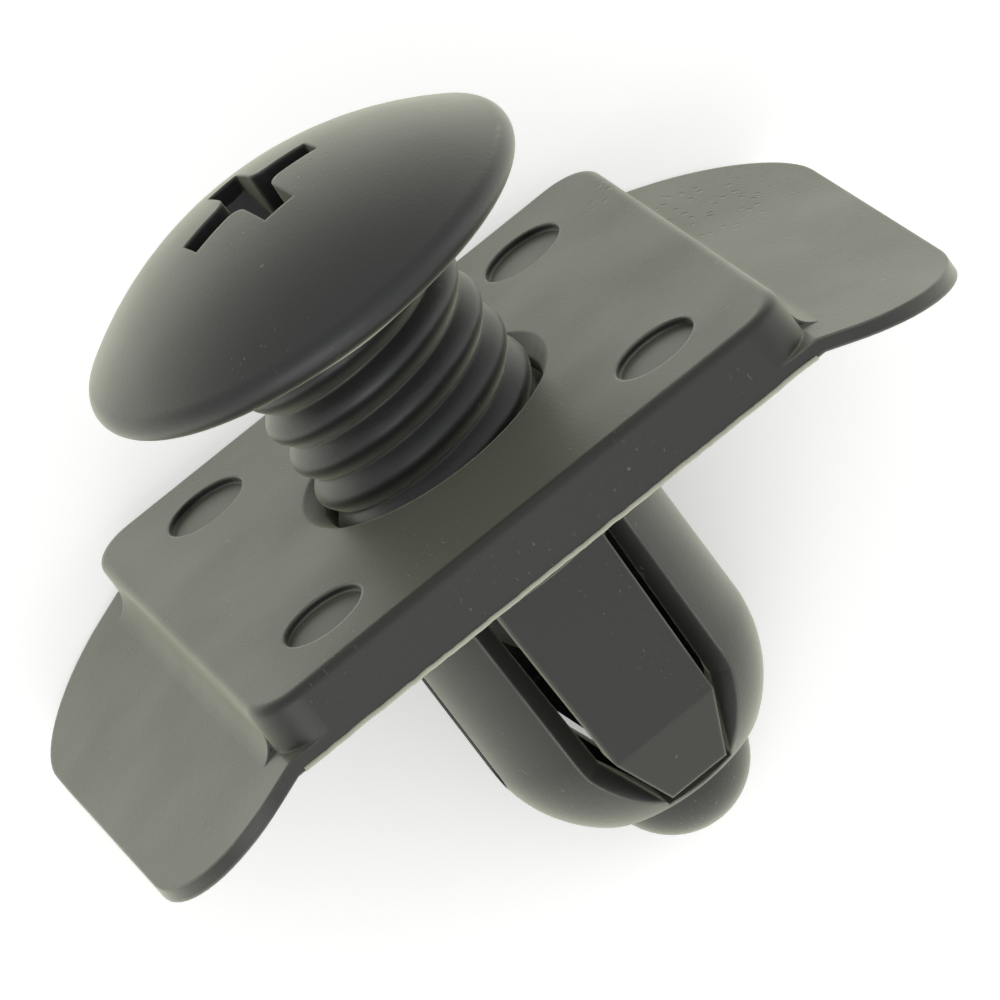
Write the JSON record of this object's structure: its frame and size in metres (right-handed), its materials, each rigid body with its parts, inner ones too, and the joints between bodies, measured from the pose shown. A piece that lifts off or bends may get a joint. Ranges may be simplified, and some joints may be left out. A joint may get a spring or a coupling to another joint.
{
  "type": "plastic push rivet",
  "caption": "Winged push-in panel rivet with a raised cross-recessed screw pin that is pushed home to lock its slotted barrel in a round hole.",
  "frame": {"origin": "on the barrel's axis, in the plane of the plate's seating face, which lies against the panel", "axes": "X along the wings; the rivet lies on its side as it comes to rest, so its axis leaves the origin in the YZ plane and leans up from the table towards the head, in +Y and +Z"},
  "size_m": [0.0316, 0.0249, 0.021],
  "materials": {
    "grommet_nylon": "satin moulded nylon, dark grey",
    "pin_nylon": "satin moulded nylon, dark grey"
  },
  "bodies": {
    "grommet_body": {"grommet": "grommet_nylon"},
    "pin_body": {"screw_pin": "pin_nylon"}
  },
  "joints": [
    {"name": "push_in", "type": "slide", "parent": "grommet_body", "child": "pin_body", "axis": [0, -0.8456, -0.5338], "range_m": [0, 0.00514]}
  ]
}
